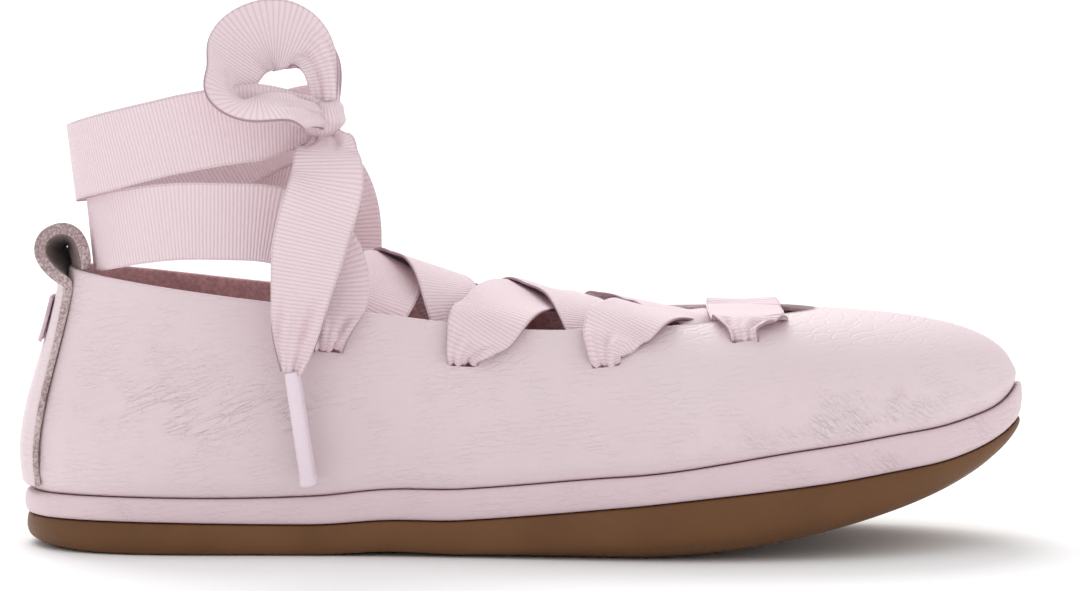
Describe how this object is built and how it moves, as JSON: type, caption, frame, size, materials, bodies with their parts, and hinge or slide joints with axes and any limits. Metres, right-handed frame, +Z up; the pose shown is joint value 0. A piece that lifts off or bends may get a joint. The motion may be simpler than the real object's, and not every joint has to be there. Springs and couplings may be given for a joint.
{
  "type": "lace-up ballet flat",
  "caption": "Soft leather ballet flat on a low wrapped platform, laced over the instep with wide ribbon through slits and tied round the ankle.",
  "frame": {"origin": "on the floor, under the middle of the box round the shoe without its bow, ribbon ends and aglets", "axes": "+X towards the toe, -Y towards the outer (lateral) side of this right shoe, +Z up"},
  "size_m": [0.2522, 0.0876, 0.1367],
  "materials": {
    "gum_rubber": "brown gum rubber, satin",
    "rand_leather": "pale pink wrapped leather, satin",
    "insole_suede": "soft suede",
    "upper_leather": "pale pink soft leather, satin",
    "strip_leather": "pale pink leather with a raw edge",
    "patch_weave": "blank woven patch",
    "ribbon_grosgrain": "pale pink ribbed grosgrain",
    "aglet_film": "clear film over ribbon"
  },
  "bodies": {
    "root": {"outsole": "gum_rubber", "midsole_rand": "rand_leather", "insole": "insole_suede", "upper": "upper_leather", "heel_strip": "strip_leather", "heel_patch": "patch_weave", "ankle_ribbon_outer": "ribbon_grosgrain", "ankle_ribbon_inner": "ribbon_grosgrain", "lace_rear": "ribbon_grosgrain", "lace_middle": "ribbon_grosgrain", "lace_front": "ribbon_grosgrain", "bow_knot": "ribbon_grosgrain", "bow_loop_near": "ribbon_grosgrain", "bow_loop_far": "ribbon_grosgrain", "ribbon_tail_near": "ribbon_grosgrain", "ribbon_tail_behind": "ribbon_grosgrain", "aglet_near": "aglet_film", "aglet_behind": "aglet_film"}
  },
  "joints": []
}
